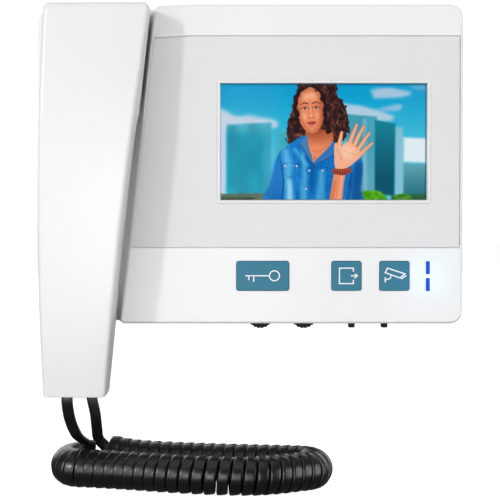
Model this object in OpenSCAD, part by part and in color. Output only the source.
// Wall-mounted video intercom monitor with a corded handset.
// +X is right, +Z is up, the wall is the plane Y = 0 and the face looks along -Y.
// The origin is the centre of the bracket's screw pattern, on the wall.
// Inside the modules a local frame is used: x right, y up, z out of the wall. upright() turns it.
// The whole cord lies on a level surface below the monitor.

/* [Console] */
// Distance of the left edge from the screw pattern's centre
console_left = 100; // [99:0.5:101]
// Distance of the right edge from the screw pattern's centre
console_right = 98; // [97:0.5:100]
// Height of the console
console_h = 147; // [146:0.5:148]
// Depth of the raised housing, wall to face
console_d = 33; // [32.5:0.1:33.5]
// Depth of the back shell, wall to seam
seam_d = 14; // [13.8:0.1:14]
// Depth of the cradle's floor, wall to surface
cradle_d = 16.2; // [16:0.1:16.3]
// Wall thickness of the console's shells
wall_t = 2.2; // [2:0.1:2.3]
// Outline corner radius
corner_r = 6; // [5:0.5:7]

/* [Display] */
// Width of the visible picture
screen_w = 95.2; // [94:0.2:95.4]
// Height of the visible picture
screen_h = 53.6; // [52:0.2:54]
// Centre of the picture, to the right
screen_x = 34; // [33.5:0.5:34.5]
// Centre of the picture, upwards
screen_y = 10.4; // [10:0.2:11]
// Width of the bevelled frame round the picture
frame_w = 1.5; // [1.2:0.1:1.6]

/* [Buttons] */
// Height of every push button
button_h = 13.5; // [13:0.1:13.6]
// Width of the door-release button
key_w = 24.1; // [23:0.1:24.5]
// Width of the two square buttons
square_w = 13.6; // [13:0.1:14]
// How far a button goes in
button_travel = 0.6; // [0.4:0.1:0.6]
// Gap between a moving piece and the shell
slot_gap = 0.4; // [0.3:0.05:0.45]

/* [Handset] */
// Highest point of the handset
handset_top = 72; // [71:0.5:72]
// Lowest point of the handset
handset_bottom = -103.6; // [-104:0.2:-103]
// Front of the handset at its crown, from the wall
handset_d = 57; // [56.8:0.1:57.5]
// Wall thickness of the handset's shells
handset_t = 2; // [1.8:0.1:2.1]

/* [Wall bracket] */
// Screw spacing across
bracket_dx = 60; // [59:0.5:61]
// Screw spacing up and down
bracket_dy = 83.5; // [83:0.5:84]
// Radius of the four screw holes
bracket_hole_r = 2.25; // [2:0.05:2.5]
// Thickness of the steel
bracket_t = 1.5; // [1.2:0.1:1.6]

/* [Cord] */
// Outer diameter of the curly part
coil_d = 17.5; // [17:0.1:17.6]
// Width of the flat cable
cable_w = 5.2; // [4.8:0.1:5.3]

/* [Hidden] */
$fn = 48;
eps = 0.01;

top_y = console_h / 2;
bottom_y = -console_h / 2;

// The cradle's wall: the raised housing's left side, which leans as the handset does
wall_top_x = -43.8;
wall_bottom_x = -60;
function wall_x(y) = wall_bottom_x + (wall_top_x - wall_bottom_x) * (y - bottom_y) / console_h;
wall_turn = atan2(wall_top_x - wall_bottom_x, console_h);
wall_foot = 3.6;                    // how far the wall's foot stands out from its top edge

// Depths inside the housing, wall to piece
floor_z = 4;                        // inside of the back shell's floor
recess_z = 2;                       // outside of that floor, behind which the bracket sits
front_t = 2.6;                      // thickness of the housing's face
face_in_z = console_d - front_t;    // inside of the face
plate_t = 1.2;                      // face plate
plate_top_y = 58.8;
plate_bottom_y = -38.2;
plate_right_x = console_right - 1.5;
plate_gap = 0.12;
board_z = 20;
board_t = 1.6;
board_top_z = board_z + board_t;
board_left_x = -30;
board_right_x = 85;
board_high_y = 58;
board_low_y = -70.9;

// Display module
panel_w = 105.5;
panel_h = 67.2;
panel_z = 26.6;
panel_t = 2.9;
window_t = 1;

// Push buttons: centres, all on one line
button_y = -51.4;
key_x = 5.9;
exit_x = 44.5;
camera_x = 66.6;
cap_z = 30;                         // underside of a cap, top of its flange
cap_proud = 0.5;
flange_t = 1.1;
flange_w = 1;
switch_w = 6;
switch_z = 25.1;                    // top of a switch body
stem_r = 1.7;
stem_z = switch_z + 0.95 + button_travel; // top of a stem, where the cap's post rests
post_r = 2;
button_r = 0.8;

// Status lights
light_x = 82;
light_w = 1.7;
light_h = 5.9;
light_ys = [-47.6, -55.4];

// Thumbwheels and slide knobs under the bottom edge
wheel_xs = [4.8, 25];
wheel_r = 6.2;
wheel_y = -70.1;
wheel_z0 = 24;
wheel_t = 2;
wheel_ribs = 20;
pot_shaft_r = 1;
shaft_gap = 0.04;
knob_xs = [47.4, 62.7];
knob_w = 3;
knob_travel = 2;
knob_low_y = -76;
knob_in_y = -68.8;
knob_z0 = 23;
knob_z1 = 26;

// Screws
screw_r = 1.5;
screw_gap = 0.05;
screw_head_r = 2.8;
case_screw_at = [[90, 64.5], [90, -64.5], [-36, 64.5], [-49, -64.5]];
board_screw_at = [[-24, 52], [80, 52], [-24, -34], [80, -34]];
boss_r = 3.2;

// Cable entry, terminal block and loudspeaker
entry = [-5, 45, -22, 8];           // left, right, low and high edge of the hole in the back shell
bracket_hole = [-9, 49, -26, 12];
bracket_half_w = 40;
bracket_half_h = 52;
lip_y = -69;                        // the lip that the locking screw bites
lip_w = 12;
speaker_x = 60;
speaker_y = 34;
speaker_r = 18;
tab_at = [[-34, 24], [34, 24], [-34, -30], [34, -30]];
tab_w = 8;

// Handset outline, seen from the front
handset_left_x = -94.6;
ear_right_x = -45.2;                // right edge at the top
mouth_right_x = -65.2;              // right edge at the bottom
split_z = 44;                       // seam between the two shells
ear_back_z = 17.6;
grip_back_z = 38;
mouth_back_z = 26;
ear_low_y = 29;                     // below this the handset steps away from the cradle
mouth_high_y = -62;
crown_r = 770;                      // the front's long arch
bow_r = 1930;                       // the slight bow of the left edge
ear_gap = 1.4;                      // gap between the ear end and the cradle's wall
tongue_tilt = atan2(0.6, 0.8);      // the handset lifts off along this slope
tongue_x = -72;
tongue_w = 14;
tongue_t = 2.4;
tongue_gap = 0.5;
rest_h = 9;                         // lower rest that the mouth end leans on
mic_x = -80;
mic_y = -80;
ear_x = -71;
ear_y = 56;

// Hook switch
plunger_x = -58;
plunger_y = 62;
plunger_size = [5, 9];
plunger_top_z = 17.2;
flange_z = 9.4;

// Modular jacks
jack_size = [12, 11, 9];
plug_size = [7.6, 9, 6.4];
base_jack_x = -77;
base_jack_z = 8.6;
handset_jack_x = -83.6;
handset_jack_z = 39;
base_plug_low = -77;

// Route of the coil's centre line and of the two leads, in the outer frame
surface_z = -150;
coil_r = coil_d / 2;
coil_z = surface_z + coil_r;
coil_route = [
    [-77.5, -9.5, coil_z], [-80.5, -10, coil_z], [-84, -13.5, coil_z], [-85, -19, coil_z],
    [-84, -24.5, coil_z], [-80.5, -28, coil_z], [-74, -29.5, coil_z], [-58, -33.5, coil_z],
    [-38, -39.5, coil_z], [-18, -44, coil_z], [0, -45.5, coil_z], [11, -43, coil_z],
    [21, -38, coil_z], [28, -33.5, coil_z], [29.5, -28, coil_z], [27, -22, coil_z],
    [20, -19.5, coil_z], [0, -17, coil_z],
    [-20, -14, coil_z], [-40, -12.5, coil_z + 0.5], [-56, -12, coil_z + 1.5], [-69, -12, coil_z + 4]];
lead_handset_route = [
    [-83.6, -39, -103.8], [-83.6, -38.6, -110], [-82.6, -35.5, -118], [-80.4, -30, -125.5],
    [-77.6, -24, -129.6], [-75.4, -19.5, -132], [-74, -15.5, -135]];
lead_base_route = [
    [-77, -8.6, -77], [-77, -8.6, -86], [-77, -9.4, -100], [-76, -10.2, -110],
    [-74.4, -9.2, -118.5], [-73.8, -7.4, -126], [-73.2, -4.8, -132], [-70, -5, -137]];

// ---------------------------------------------------------------- helpers

module upright() { rotate([90, 0, 0]) children(); }

// A block between two corners
module block(x0, x1, y0, y1, z0, z1) {
    translate([x0, y0, z0]) cube([x1 - x0, y1 - y0, z1 - z0]);
}

// A block centred on a point in x and y
module pad(x, y, w, h, z0, z1) { block(x - w / 2, x + w / 2, y - h / 2, y + h / 2, z0, z1); }

module rod(x, y, r, z0, z1) { translate([x, y, z0]) cylinder(r = r, h = z1 - z0); }

module slab(z0, z1) { translate([0, 0, z0]) linear_extrude(z1 - z0) children(); }

// A rectangle with round corners
module rounded(x0, x1, y0, y1, r) {
    translate([x0 + r, y0]) square([x1 - x0 - 2 * r, y1 - y0]);
    translate([x0, y0 + r]) square([x1 - x0, y1 - y0 - 2 * r]);
    for (x = [x0 + r, x1 - r], y = [y0 + r, y1 - r]) translate([x, y]) circle(r);
}

module rounded_pad(x, y, w, h, r) { rounded(x - w / 2, x + w / 2, y - h / 2, y + h / 2, r); }

// Outline of the whole console, drawn in by inset
module console_outline(inset = 0) {
    rounded(-console_left + inset, console_right - inset, bottom_y + inset, top_y - inset,
        corner_r - inset);
}

// What lies to the right of the cradle's wall
module right_of_wall(inset = 0) {
    polygon([[wall_x(top_y + 5) + inset, top_y + 5], [console_right + 5, top_y + 5],
        [console_right + 5, bottom_y - 5], [wall_x(bottom_y - 5) + inset, bottom_y - 5]]);
}

// Outline of the raised housing, drawn in by inset
module housing_outline(inset = 0) {
    intersection() {
        console_outline(inset);
        right_of_wall(inset);
    }
}

// A prism that follows the cradle's wall: section is drawn with x across the wall, measured from
// its top edge, and y as the depth from the wall of the room
module along_wall(section) {
    translate([wall_bottom_x, bottom_y, 0]) rotate(-wall_turn) translate([0, console_h * 1.3, 0])
        rotate([90, 0, 0]) linear_extrude(console_h * 1.8) polygon(section);
}

// The satin plate in the middle of the face, grown by grow
module plate_outline(grow = 0) {
    intersection() {
        translate([-console_left, plate_bottom_y - grow])
            square([console_left + plate_right_x + grow, plate_top_y - plate_bottom_y + 2 * grow]);
        right_of_wall(1.4 - grow);
    }
}

// Centres and widths of the three buttons
module at_buttons() {
    for (b = [[key_x, key_w], [exit_x, square_w], [camera_x, square_w]])
        translate([b[0], button_y, 0]) {
            $button_w = b[1];
            children();
        }
}

// A screw along +z, head at its low end
module screw(x, y, head_z, head_h, tip_z, r = screw_r, head_r = screw_head_r) {
    difference() {
        rod(x, y, head_r, head_z, head_z + head_h);
        pad(x, y, head_r * 1.1, 0.7, head_z - eps, head_z + head_h / 2);
        pad(x, y, 0.7, head_r * 1.1, head_z - eps, head_z + head_h / 2);
    }
    rod(x, y, r, head_z + head_h, tip_z);
}

// ---------------------------------------------------------------- wall bracket

module wall_bracket() color("silver") upright() {
    difference() {
        union() {
            slab(0, bracket_t)
                rounded(-bracket_half_w, bracket_half_w, -bracket_half_h, bracket_half_h, 4);
            // tongue down to the locking lip
            block(-lip_w / 2, lip_w / 2, lip_y, -bracket_half_h + 1, 0, bracket_t);
            block(-lip_w / 2, lip_w / 2, lip_y, lip_y + 1.5, 0, 11);
        }
        slab(-1, bracket_t + 1)
            rounded(bracket_hole[0], bracket_hole[1], bracket_hole[2], bracket_hole[3], 3);
        for (x = [-1, 1], y = [-1, 1])
            rod(x * bracket_dx / 2, y * bracket_dy / 2, bracket_hole_r, -1, bracket_t + 1);
        translate([0, lip_y - 1, 7.5]) rotate([-90, 0, 0])
            cylinder(r = screw_r + screw_gap, h = 4);
    }
    // four hooks that the back shell drops onto
    for (t = tab_at) {
        pad(t[0], t[1], tab_w, bracket_t, bracket_t, 6);
        pad(t[0], t[1] + 1.6, tab_w, 1.8, 4.6, 6);
    }
}

// ---------------------------------------------------------------- console shells

module back_shell() color("whitesmoke") upright() difference() {
    union() {
        difference() {
            slab(0, seam_d) console_outline();
            slab(floor_z, seam_d + 1) console_outline(wall_t);
            slab(-1, recess_z) console_outline(wall_t + 0.6);
        }
        for (p = case_screw_at) rod(p[0], p[1], boss_r, floor_z, seam_d);
    }
    // holes for the four case screws, with room for their heads
    for (p = case_screw_at) {
        rod(p[0], p[1], screw_r + 0.2, recess_z - 1, seam_d + 1);
        rod(p[0], p[1], screw_head_r + 0.15, recess_z - 1, floor_z + 2);
    }
    // cable entry
    slab(0, floor_z + 1) rounded(entry[0], entry[1], entry[2], entry[3], 3);
    // slots for the bracket's hooks
    for (t = tab_at) pad(t[0], t[1] - 2, tab_w + 2, 12, 0, floor_z + 1);
    // notch for the locking lip and its screw hole
    block(-lip_w / 2 - 1, lip_w / 2 + 1, bottom_y + wall_t, -58, 0, floor_z + 1);
    translate([0, bottom_y - 1, 7.5]) rotate([-90, 0, 0]) cylinder(r = screw_r + 0.2, h = wall_t + 2);
    // mouth of the handset jack
    block(base_jack_x - 4.2, base_jack_x + 4.2, bottom_y - 1, bottom_y + wall_t + 1,
        base_jack_z - 3.6, base_jack_z + 3.6);
    // loudspeaker grille
    for (i = [-3:3])
        pad(speaker_x + i * 4, speaker_y, 1.8, 24 - abs(i) * 4, recess_z - 1, floor_z + 1);
    // air slots along the top
    for (i = [0:7]) block(-20 + i * 9, -14 + i * 9, top_y - wall_t - 1, top_y + 1, 7, 9);
}

// Bosses that hang from the inside of the housing's face
module face_bosses() {
    for (p = case_screw_at) difference() {
        rod(p[0], p[1], boss_r, seam_d, face_in_z + eps);
        rod(p[0], p[1], screw_r + screw_gap, seam_d - 1, 28);
    }
    for (p = board_screw_at) difference() {
        rod(p[0], p[1], 3, board_top_z, face_in_z + eps);
        rod(p[0], p[1], 1.3 + screw_gap, board_top_z - 1, 29);
    }
}

// Slots in the bottom edge for the wheels and the slide knobs
module bottom_slots() {
    for (x = wheel_xs)
        block(x - wheel_r - slot_gap, x + wheel_r + slot_gap, bottom_y - 1, bottom_y + wall_t + 1,
            wheel_z0 - slot_gap, wheel_z0 + wheel_t + slot_gap);
    for (x = knob_xs)
        block(x - knob_w / 2 - slot_gap, x + knob_w / 2 + knob_travel + slot_gap, bottom_y - 1,
            bottom_y + wall_t + 1, knob_z0 - slot_gap, knob_z1 + slot_gap);
}

// Inclined tongue that the handset hangs on, grown by gap for its slot
module tongue(gap = 0, length = 9) {
    translate([tongue_x, 35, 15]) rotate([-tongue_tilt, 0, 0])
        translate([-tongue_w / 2 - gap, -tongue_t / 2 - gap, 0])
            cube([tongue_w + 2 * gap, tongue_t + 2 * gap, length]);
}

module front_shell() color("white") upright() {
    difference() {
        union() {
            slab(seam_d, cradle_d) console_outline();
            slab(seam_d, console_d) housing_outline();
            // the wall's sloping side
            intersection() {
                slab(seam_d, console_d) console_outline();
                along_wall([[-wall_foot, seam_d], [-wall_foot, cradle_d], [0, console_d - 1],
                    [2, console_d - 1], [2, seam_d]]);
            }
        }
        slab(seam_d - 1, face_in_z) housing_outline(wall_t);
        // recess for the face plate
        slab(console_d - plate_t, console_d + 1) plate_outline(plate_gap);
        // display opening
        pad(screen_x, screen_y, screen_w + 2 * frame_w + 0.2, screen_h + 2 * frame_w + 0.2,
            face_in_z - 1, console_d + 1);
        // button openings
        at_buttons() slab(face_in_z - 1, console_d + 1)
            rounded_pad(0, 0, $button_w + 0.6, button_h + 0.6, button_r + 0.3);
        for (y = light_ys)
            pad(light_x, y, light_w + 0.1, light_h + 0.1, face_in_z - 1, console_d + 1);
        bottom_slots();
        // hole for the hook plunger
        pad(plunger_x, plunger_y, plunger_size[0] + 2 * slot_gap, plunger_size[1] + 2 * slot_gap,
            seam_d - 1, cradle_d + 1);
    }
    face_bosses();
    intersection() {
        tongue();
        block(-console_left, 0, 0, top_y, cradle_d - 0.5, console_d);
    }
    // lower rest, under the handset's mouth end
    block(-88, -66, bottom_y + 0.6, bottom_y + 7.6, cradle_d - eps, cradle_d + rest_h);
}

module cradle_bumper() color("dimgray") upright()
    slab(cradle_d + rest_h, mouth_back_z - 0.3) rounded(-85, -69, bottom_y + 1.4, bottom_y + 6.8, 2);

module face_plate() color("gainsboro") upright() difference() {
    slab(console_d - plate_t, console_d) plate_outline();
    pad(screen_x, screen_y, screen_w + 2 * frame_w + 0.2, screen_h + 2 * frame_w + 0.2,
        console_d - plate_t - 1, console_d + 1);
}

// ---------------------------------------------------------------- display

module display_frame() color("lightgray") upright() difference() {
    pad(screen_x, screen_y, screen_w + 2 * frame_w, screen_h + 2 * frame_w, face_in_z,
        console_d + 0.2);
    pad(screen_x, screen_y, screen_w, screen_h, face_in_z - 1, console_d);
    // bevel that falls towards the picture
    hull() {
        pad(screen_x, screen_y, screen_w, screen_h, face_in_z + 1.2, face_in_z + 1.3);
        pad(screen_x, screen_y, screen_w + 1.6 * frame_w, screen_h + 1.6 * frame_w,
            console_d + 0.2, console_d + 0.3);
    }
}

module display_window() color("lightcyan", 0.4) upright()
    pad(screen_x, screen_y, screen_w - 0.1, screen_h - 0.1, face_in_z, face_in_z + window_t);

module display_gasket() color("black") upright() difference() {
    pad(screen_x, screen_y, panel_w - 1, panel_h - 4, panel_z + panel_t, face_in_z);
    pad(screen_x, screen_y, screen_w + 0.8, screen_h + 0.8, panel_z, console_d);
}

module display_panel() color("deepskyblue") upright()
    pad(screen_x, screen_y, panel_w, panel_h, panel_z, panel_z + panel_t);

module display_bracket() color("silver") upright() {
    difference() {
        pad(screen_x, screen_y, panel_w + 2, panel_h + 2, panel_z - 0.8, panel_z + panel_t);
        pad(screen_x, screen_y, panel_w + 0.2, panel_h + 0.2, panel_z, console_d);
    }
    for (x = [-1, 1], y = [-1, 1])
        pad(screen_x + x * 46, screen_y + y * 28, 5, 5, board_top_z, panel_z - 0.8 + eps);
}

// Flat flex from the panel's lower edge to its socket on the board
module display_ribbon() color("goldenrod") upright() {
    low_y = screen_y - panel_h / 2 - 4;
    pad(screen_x, low_y + 1, 22, 2, panel_z + 0.8, panel_z + 1.1);
    pad(screen_x, low_y, 22, 0.3, board_top_z + 1, panel_z + 1.1);
    pad(screen_x, low_y + 1, 22, 2, board_top_z + 1, board_top_z + 1.3);
    difference() {
        pad(screen_x, low_y + 4, 24, 5, board_top_z, board_top_z + 1.9);
        pad(screen_x, low_y + 2, 22.2, 2, board_top_z + 0.8, board_top_z + 1.5);
    }
}

// ---------------------------------------------------------------- electronics

module main_board() color("darkgreen") upright() difference() {
    block(board_left_x, board_right_x, board_low_y, board_high_y, board_z, board_top_z);
    for (p = board_screw_at) rod(p[0], p[1], 1.5, board_z - 1, board_top_z + 1);
}

module circuit_chips() color("black") upright() {
    // processor, decoder and memory under the display
    pad(20, 20, 14, 14, board_top_z, board_top_z + 1.4);
    pad(46, 22, 10, 10, board_top_z, board_top_z + 1.2);
    pad(46, 4, 12, 8, board_top_z, board_top_z + 1.1);
    // voltage regulator and its coil on the back of the board
    pad(-18, 10, 10, 9, board_z - 3, board_z);
    pad(-18, -12, 12, 12, board_z - 5, board_z);
    // socket for the loudspeaker lead, and for the hook board's
    pad(30, 50, 7.5, 5, board_z - 5, board_z);
    pad(-22, 36, 9, 5, board_z - 5, board_z);
}

module capacitors() color("navy") upright()
    for (p = [[-20, -44, 5], [-4, -44, 5], [-10, 30, 4]])
        rod(p[0], p[1], p[2], board_z - 11, board_z);

module terminal_block() color("seagreen") upright() difference() {
    block(4, 36, -14, -3, board_z - 11, board_z);
    // wire mouths towards the entry, and screw wells
    for (i = [0:5]) {
        block(4.9 + i * 5.2, 8.9 + i * 5.2, -14.1, -8, board_z - 9.6, board_z - 5.6);
        rod(6.9 + i * 5.2, -5.6, 1.9, board_z - 11.1, board_z - 6);
    }
}

module terminal_screws() color("silver") upright()
    for (i = [0:5]) difference() {
        rod(6.9 + i * 5.2, -5.6, 1.8, board_z - 9, board_z - 6);
        pad(6.9 + i * 5.2, -5.6, 2.8, 0.6, board_z - 9.1, board_z - 8.2);
    }

module board_screws() color("silver") upright()
    for (p = board_screw_at) screw(p[0], p[1], board_z - 1.6, 1.6, board_top_z + 5, 1.3, 2.4);

module case_screws() color("silver") upright()
    for (p = case_screw_at) screw(p[0], p[1], floor_z, 2, 26);

module lock_screw() color("silver") upright()
    translate([0, bottom_y, 7.5]) rotate([-90, 0, 0]) screw(0, 0, -1.6, 1.6, 7, screw_r, 2.6);

module button_switches() color("dimgray") upright() at_buttons() difference() {
    pad(0, 0, switch_w, switch_w, board_top_z, switch_z);
    rod(0, 0, stem_r + slot_gap, switch_z - 1.2, switch_z + 1);
}

module status_leds() color("royalblue") upright()
    for (y = light_ys) pad(light_x, y, 1.6, 3.2, board_top_z, board_top_z + 0.9);

module light_pipes() color("blue", 0.7) upright()
    for (y = light_ys) pad(light_x, y, light_w, light_h, board_top_z + 1, console_d + 0.1);

module volume_pots() color("dimgray") upright() for (x = wheel_xs) {
    block(x - 4, x + 4, -70.9, -62, board_top_z, wheel_z0 - 0.6);
    rod(x, wheel_y, pot_shaft_r, board_top_z, wheel_z0 + wheel_t + 0.3);
}

module mode_switches() color("dimgray") upright() for (x = knob_xs) difference() {
    block(x - 5, x + 7, -70.6, -65, board_top_z, knob_z1 + 1.4);
    block(x - knob_w / 2 - slot_gap, x + knob_w / 2 + knob_travel + slot_gap, -70.7,
        knob_in_y + slot_gap, knob_z0 - slot_gap, knob_z1 + slot_gap);
}

module loudspeaker() color("darkslategray") upright() translate([speaker_x, speaker_y, 0]) {
    rotate_extrude() polygon([[0, floor_z + 2.5], [speaker_r - 3, floor_z + 0.6],
        [speaker_r - 3, floor_z], [speaker_r, floor_z], [speaker_r, floor_z + 2.5],
        [10, floor_z + 5], [0, floor_z + 5]]);
    rod(0, 0, 9, floor_z + 5 - eps, floor_z + 9);
}

// ---------------------------------------------------------------- hook switch

module hook_board() color("darkgreen") upright()
    block(plunger_x - 10, plunger_x + 12, plunger_y - 8, plunger_y + 7.5, floor_z, 5.6);

module hook_switch() color("black") upright()
    block(plunger_x + 5.4, plunger_x + 10.5, plunger_y - 5, plunger_y + 5, 5.6, 9);

module hook_spring() color("silver") upright() difference() {
    rod(plunger_x, plunger_y, 2.2, 5.6, flange_z);
    rod(plunger_x, plunger_y, 1.7, 5, flange_z + 1);
}

module hook_plunger() color("white") upright() {
    pad(plunger_x, plunger_y, plunger_size[0], plunger_size[1], flange_z, plunger_top_z);
    block(plunger_x - 4, plunger_x + 10, plunger_y - 5.8, plunger_y + 5.8, flange_z, flange_z + 1.2);
}

// ---------------------------------------------------------------- buttons, wheels and knobs

module button_cap(x, w) color([0.23, 0.51, 0.62]) upright() translate([x, button_y, 0]) {
    slab(cap_z - eps, console_d + cap_proud) rounded_pad(0, 0, w, button_h, button_r);
    pad(0, 0, w + 2 * flange_w, button_h + 2 * flange_w, cap_z - flange_t, cap_z);
    rod(0, 0, post_r, stem_z, cap_z - flange_t + eps);
}

module switch_stem(x) color("dimgray") upright() rod(x, button_y, stem_r, switch_z, stem_z);

module key_button() { button_cap(key_x, key_w); }
module exit_button() { button_cap(exit_x, square_w); }
module camera_button() { button_cap(camera_x, square_w); }
module key_switch_stem() { switch_stem(key_x); }
module exit_switch_stem() { switch_stem(exit_x); }
module camera_switch_stem() { switch_stem(camera_x); }

module thumbwheel(x) color([0.08, 0.08, 0.08]) upright() translate([x, wheel_y, wheel_z0])
    difference() {
        cylinder(r = wheel_r, h = wheel_t);
        translate([0, 0, -1]) cylinder(r = pot_shaft_r + shaft_gap, h = wheel_t + 2);
        for (i = [0:wheel_ribs - 1]) rotate(i * 360 / wheel_ribs)
            translate([wheel_r + 0.2, 0, -1]) cylinder(r = 0.5, h = wheel_t + 2, $fn = 16);
    }

module chime_wheel() { thumbwheel(wheel_xs[0]); }
module brightness_wheel() { thumbwheel(wheel_xs[1]); }

module slide_knob(x) color([0.08, 0.08, 0.08]) upright()
    block(x - knob_w / 2, x + knob_w / 2, knob_low_y, knob_in_y, knob_z0, knob_z1);

module chime_slide_knob() { slide_knob(knob_xs[0]); }
module mode_slide_knob() { slide_knob(knob_xs[1]); }

// ---------------------------------------------------------------- handset

// Outline seen from the front, drawn in by inset
module handset_outline(inset = 0) {
    r = 5 - inset;
    low = handset_bottom + inset;
    high = handset_top - inset;
    left = handset_left_x + inset;
    difference() {
        intersection() {
            rounded(left, ear_right_x - inset, low, high, r);
            translate([left + bow_r, (low + high) / 2]) circle(bow_r, $fn = 720);
        }
        polygon([[ear_right_x - inset, high - 3], [ear_right_x + 5, high - 3],
            [ear_right_x + 5, low - 1], [mouth_right_x - inset - 0.1, low - 1]]);
    }
}

// Side profile of the inner shell's back, drawn in by inset
module back_profile(inset = 0) {
    i = inset;
    polygon([[handset_bottom - 1, 60], [handset_bottom - 1, mouth_back_z + i],
        [mouth_high_y - 2 - i, mouth_back_z + i], [mouth_high_y + 8 - i, grip_back_z + i],
        [ear_low_y - 12 + i, grip_back_z + i], [ear_low_y + i, ear_back_z + i],
        [handset_top + 1, ear_back_z + i], [handset_top + 1, 60]]);
}

// Everything behind the front's long arch, less inset
module under_crown(inset = 0) {
    translate([-150, (handset_top + handset_bottom) / 2, handset_d - crown_r - inset])
        rotate([0, 90, 0]) cylinder(r = crown_r, h = 150, $fn = 720);
}

// The handset's solid form, drawn in by inset
module handset_form(inset = 0) {
    intersection() {
        slab(10, 70) handset_outline(inset);
        translate([-console_left - 10, 0, 0]) rotate([90, 0, 90])
            linear_extrude(80) back_profile(inset);
        under_crown(inset);
        // the right side leans with the cradle's wall
        along_wall([[-120, 0], [-wall_foot - ear_gap - inset, 0],
            [-wall_foot - ear_gap - inset, cradle_d], [-ear_gap - inset, console_d],
            [-ear_gap - inset, 80], [-120, 80]]);
    }
}

// Four screws from the back into the outer shell
handset_screw_at = [[-88.5, 65, ear_back_z], [-71.5, -90, mouth_back_z]];

module handset_outer_shell() color("white") upright() {
    difference() {
        intersection() {
            handset_form();
            block(-110, 0, -120, 90, split_z, 70);
        }
        handset_form(handset_t);
    }
    for (p = handset_screw_at) difference() {
        rod(p[0], p[1], 3, split_z, handset_d - 6);
        rod(p[0], p[1], 1.3 + screw_gap, split_z - 1, handset_d - 6.5);
    }
}

module handset_inner_shell() color("whitesmoke") upright() difference() {
    union() {
        difference() {
            intersection() {
                handset_form();
                block(-110, 0, -120, 90, 10, split_z);
            }
            handset_form(handset_t);
        }
        for (p = handset_screw_at) rod(p[0], p[1], 3.4, p[2] + 1, split_z);
    }
    for (p = handset_screw_at) {
        rod(p[0], p[1], 1.5, p[2] - 1, split_z + 1);
        rod(p[0], p[1], 2.6, p[2] - 1, split_z - 6);
    }
    tongue(tongue_gap, 20);
    // holes in front of the receiver, and one for the microphone
    for (i = [0:5]) rod(ear_x + 6 * cos(i * 60), ear_y + 6 * sin(i * 60), 1, 10, 30);
    rod(ear_x, ear_y, 1, 10, 30);
    rod(mic_x, mic_y, 1.1, mouth_back_z - 1, mouth_back_z + 5);
    // mouth of the cord's jack
    block(handset_jack_x - 4.2, handset_jack_x + 4.2, handset_bottom - 1,
        handset_bottom + handset_t + 1, handset_jack_z - 3.6, handset_jack_z + 3.6);
}

module ear_receiver() color("dimgray") upright() {
    rod(ear_x, ear_y, 13, ear_back_z + handset_t, ear_back_z + handset_t + 4);
    rod(ear_x, ear_y, 8, ear_back_z + handset_t + 4, ear_back_z + handset_t + 7);
}

module microphone() color("silver") upright() rod(mic_x, mic_y, 4.5, mouth_back_z + 3.2, mouth_back_z + 8);

module microphone_boot() color("black") upright() difference() {
    rod(mic_x, mic_y, 5.6, mouth_back_z + handset_t, mouth_back_z + 8.6);
    rod(mic_x, mic_y, 4.5, mouth_back_z + 3.2, mouth_back_z + 10);
    rod(mic_x, mic_y, 1.2, 10, mouth_back_z + 10);
}

module jack(x, z, low_y) {
    difference() {
        block(x - jack_size[0] / 2, x + jack_size[0] / 2, low_y, low_y + jack_size[1],
            z - jack_size[2] / 2, z + jack_size[2] / 2);
        block(x - plug_size[0] / 2 - 0.1, x + plug_size[0] / 2 + 0.1, low_y - 1, low_y + 8.2,
            z - plug_size[2] / 2 - 0.1, z + plug_size[2] / 2 + 0.1);
    }
}

module handset_jack() color("gray") upright()
    jack(handset_jack_x, handset_jack_z, handset_bottom + handset_t);

module base_jack() color("gray") upright() jack(base_jack_x, base_jack_z, bottom_y + wall_t);

module plug_handset() color("dimgray") upright()
    pad(handset_jack_x, (handset_bottom - 0.2 + handset_bottom + handset_t + 8) / 2, plug_size[0],
        handset_t + 8.2, handset_jack_z - plug_size[2] / 2, handset_jack_z + plug_size[2] / 2);

module plug_base() color("dimgray") upright()
    block(base_jack_x - plug_size[0] / 2, base_jack_x + plug_size[0] / 2, base_plug_low,
        bottom_y + wall_t + 8, base_jack_z - plug_size[2] / 2, base_jack_z + plug_size[2] / 2);

module handset_weight() color("slategray") upright() block(-86, -66, -46, 4, 42, 50);

module handset_wires() color("firebrick") upright()
    for (i = [0:3]) translate([-90.8 + i * 0.9, -84, 47]) rotate([-90, 0, 0])
        cylinder(r = 0.4, h = 120, $fn = 16);

module handset_screws() color("silver") upright()
    for (p = handset_screw_at) screw(p[0], p[1], split_z - 8, 2, split_z + 6.5, 1.3, 2.4);

// ---------------------------------------------------------------- cord

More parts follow.
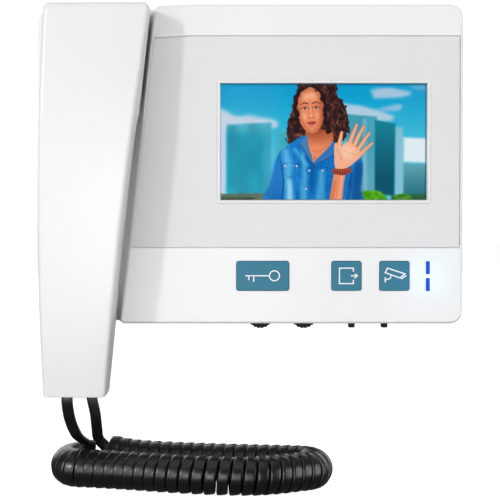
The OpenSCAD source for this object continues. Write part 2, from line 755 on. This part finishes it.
// Points on a smooth curve through a route, n to each span
function at(p, i) = p[max(0, min(len(p) - 1, i))];
function spline(p, n) = [for (i = [0:len(p) - 2], k = [0:n - 1]) let (t = k / n)
    0.5 * (2 * p[i] + (p[i + 1] - at(p, i - 1)) * t
        + (2 * at(p, i - 1) - 5 * p[i] + 4 * p[i + 1] - at(p, i + 2)) * t * t
        + (3 * p[i] - at(p, i - 1) - 3 * p[i + 1] + at(p, i + 2)) * t * t * t), p[len(p) - 1]];

function unit(v) = v / norm(v);

// A round tube swept along a route. The reference direction is never parallel to the route.
module tube(route, r, sides, n, reference) {
    c = spline(route, n);
    last = len(c) - 1;
    rings = [for (i = [0:last])
        let (t = unit(at(c, i + 1) - at(c, i - 1)), u = unit(cross(t, reference)), v = cross(t, u))
        for (k = [0:sides - 1]) c[i] + r * (u * cos(k * 360 / sides) + v * sin(k * 360 / sides))];
    sheets = [for (i = [0:last - 1], k = [0:sides - 1]) let (m = (k + 1) % sides)
        [i * sides + k, i * sides + m, (i + 1) * sides + m, (i + 1) * sides + k]];
    first_cap = [for (k = [0:sides - 1]) sides - 1 - k];
    last_cap = [for (k = [0:sides - 1]) last * sides + k];
    polyhedron(rings, concat(sheets, [first_cap, last_cap]), convexity = 6);
}

module cord_coil() color([0.06, 0.06, 0.06]) tube(coil_route, coil_r, 12, 2, [0, 0, 1]);
module lead_handset() color([0.06, 0.06, 0.06])
    tube(lead_handset_route, cable_w / 2, 8, 2, [1, 0, 0]);
module lead_base() color([0.06, 0.06, 0.06])
    tube(lead_base_route, cable_w / 2, 8, 2, [0, 1, 0]);

// ---------------------------------------------------------------- nodes

wall_bracket();
back_shell();
front_shell();
face_plate();
display_frame();
display_window();
display_gasket();
display_panel();
display_bracket();
display_ribbon();
main_board();
circuit_chips();
capacitors();
terminal_block();
terminal_screws();
board_screws();
case_screws();
lock_screw();
button_switches();
status_leds();
light_pipes();
volume_pots();
mode_switches();
hook_board();
hook_switch();
hook_spring();
hook_plunger();
loudspeaker();
cradle_bumper();
base_jack();
key_button();
key_switch_stem();
exit_button();
exit_switch_stem();
camera_button();
camera_switch_stem();
chime_wheel();
brightness_wheel();
chime_slide_knob();
mode_slide_knob();
handset_outer_shell();
handset_inner_shell();
ear_receiver();
microphone();
microphone_boot();
handset_jack();
handset_weight();
handset_wires();
handset_screws();
plug_handset();
lead_handset();
cord_coil();
lead_base();
plug_base();
